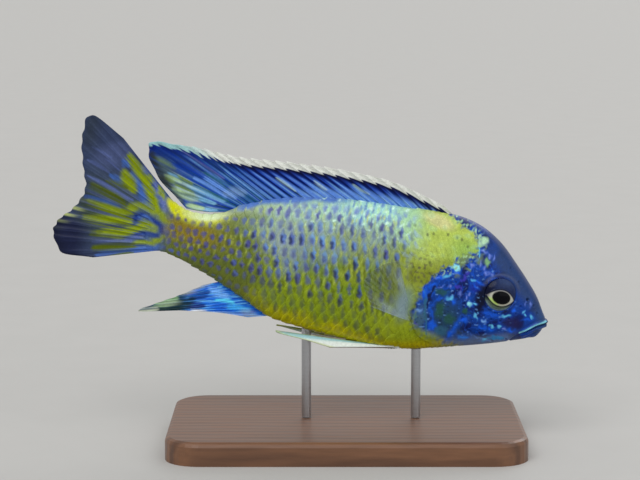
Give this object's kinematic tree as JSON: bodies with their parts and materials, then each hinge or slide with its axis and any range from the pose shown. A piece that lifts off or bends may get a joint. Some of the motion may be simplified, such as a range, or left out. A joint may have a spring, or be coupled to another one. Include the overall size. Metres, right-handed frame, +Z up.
{
  "type": "peacock cichlid model",
  "caption": "Life-size swimming peacock cichlid, nose slightly down, fins spread, held on two rods over a flat wooden base.",
  "frame": {"origin": "on the floor, under the middle of the whole model's box", "axes": "+X towards the snout, +Y to the fish's left, +Z up"},
  "size_m": [0.1292, 0.058, 0.085],
  "materials": {
    "head_skin": "wet, satin, iridescent blue",
    "scaled_skin": "wet, satin, scaled, yellow-green with violet-blue spots",
    "eye": "glossy, dark with a cream ring",
    "blue_fin": "thin rayed membrane, blue, cream edge",
    "tail_fin": "thin rayed membrane, yellow-green with violet-blue streaks",
    "clear_fin": "thin rayed membrane, clear and whitish",
    "stand_wood": "oiled walnut",
    "stand_steel": "brushed"
  },
  "bodies": {
    "root": {"head": "head_skin", "lower_jaw": "head_skin", "gill_cover_right": "head_skin", "gill_cover_left": "head_skin", "trunk": "scaled_skin", "tail_stalk": "scaled_skin", "eye_right": "eye", "eye_left": "eye", "dorsal_fin": "blue_fin", "anal_fin": "blue_fin", "caudal_fin": "tail_fin", "pelvic_fin_right": "tail_fin", "pelvic_fin_left": "tail_fin", "pectoral_fin_right": "clear_fin", "pectoral_fin_left": "clear_fin", "stand_base": "stand_wood", "stand_rod_front": "stand_steel", "stand_rod_rear": "stand_steel"}
  },
  "joints": []
}
